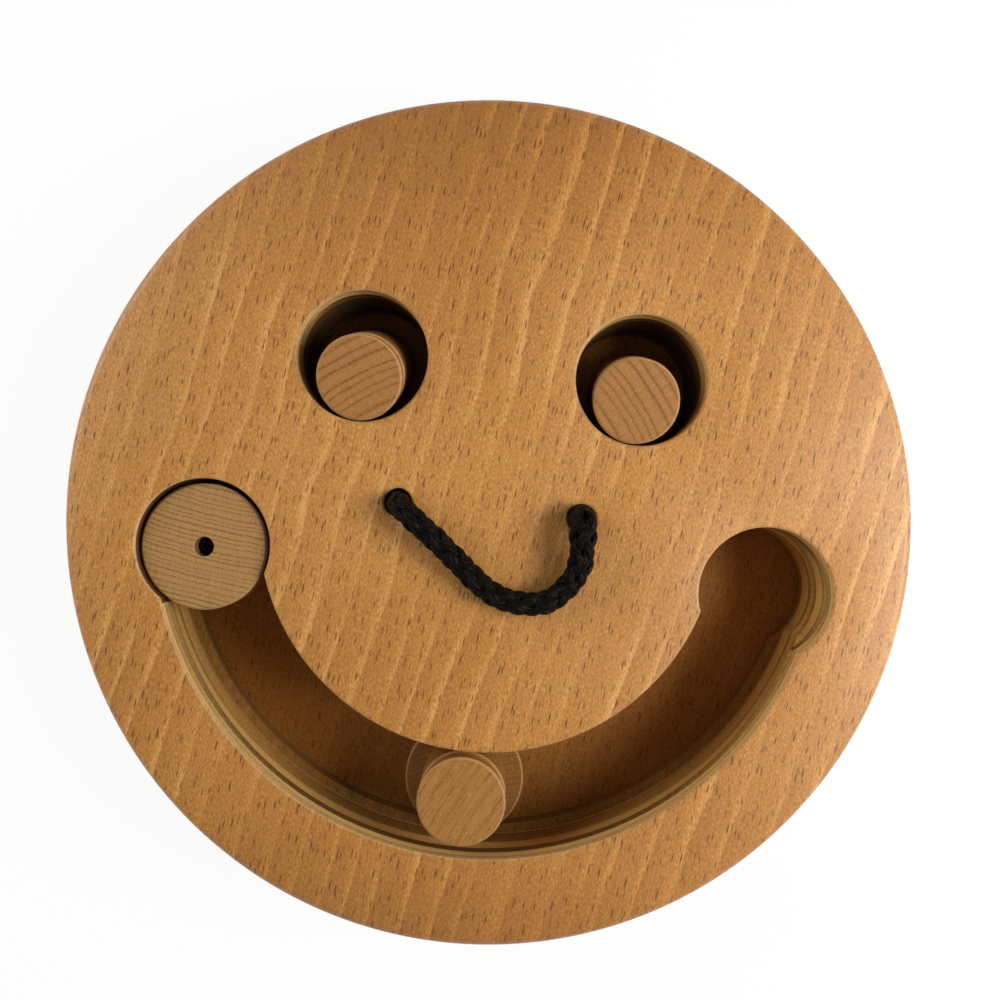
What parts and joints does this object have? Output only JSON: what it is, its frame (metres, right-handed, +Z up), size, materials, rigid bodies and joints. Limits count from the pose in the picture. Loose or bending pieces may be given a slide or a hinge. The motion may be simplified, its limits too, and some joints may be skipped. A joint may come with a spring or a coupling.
{
  "type": "dog puzzle feeder toy",
  "caption": "Round wooden treat puzzle for dogs, with lift-out pegs in wells, flanged pegs that slide in a curved channel, and a knotted rope loop.",
  "frame": {"origin": "on the floor, under the middle of the round board", "axes": "+Z up through the board, +Y towards the top of the face, +X to the face's right side as seen from above"},
  "size_m": [0.24, 0.24, 0.0539],
  "materials": {
    "beech_face": "clear satin lacquer",
    "beech_ply": "sawn ply edge, oiled",
    "beech_end_grain": "turned and oiled",
    "black_braid": "braided cord",
    "black_rubber": "moulded, matt",
    "zinc_steel": "zinc plated",
    "black_steel": "black phosphate"
  },
  "bodies": {
    "board": {"top_board": "beech_face", "core_board": "beech_ply", "lower_board": "beech_ply", "base_board": "beech_face", "right_rear_foot": "black_rubber", "left_rear_foot": "black_rubber", "left_front_foot": "black_rubber", "right_front_foot": "black_rubber", "right_rear_foot_screw": "zinc_steel", "left_rear_foot_screw": "zinc_steel", "left_front_foot_screw": "zinc_steel", "right_front_foot_screw": "zinc_steel", "nose_rope": "black_braid", "left_rope_end": "black_braid", "right_rope_end": "black_braid"},
    "left_eye": {"left_eye_peg": "beech_end_grain"},
    "right_eye": {"right_eye_peg": "beech_end_grain"},
    "slider": {"slider_knob": "beech_end_grain", "slider_flange": "beech_end_grain", "slider_screw": "black_steel"},
    "parked": {"parked_knob": "beech_end_grain", "parked_flange": "beech_end_grain", "parked_screw": "black_steel"}
  },
  "joints": [
    {"name": "left_eye_lift", "type": "slide", "parent": "board", "child": "left_eye", "axis": [0, 0, 1], "range_m": [0, 0.04]},
    {"name": "right_eye_lift", "type": "slide", "parent": "board", "child": "right_eye", "axis": [0, 0, 1], "range_m": [0, 0.04]},
    {"name": "smile_slide", "type": "hinge", "parent": "board", "child": "slider", "pos_m": [0, 0, 0.0135], "axis": [0, 0, 1], "range_deg": [-57, 80]},
    {"name": "parked_lift", "type": "slide", "parent": "board", "child": "parked", "axis": [0, 0, 1], "range_m": [0, 0.04]}
  ]
}
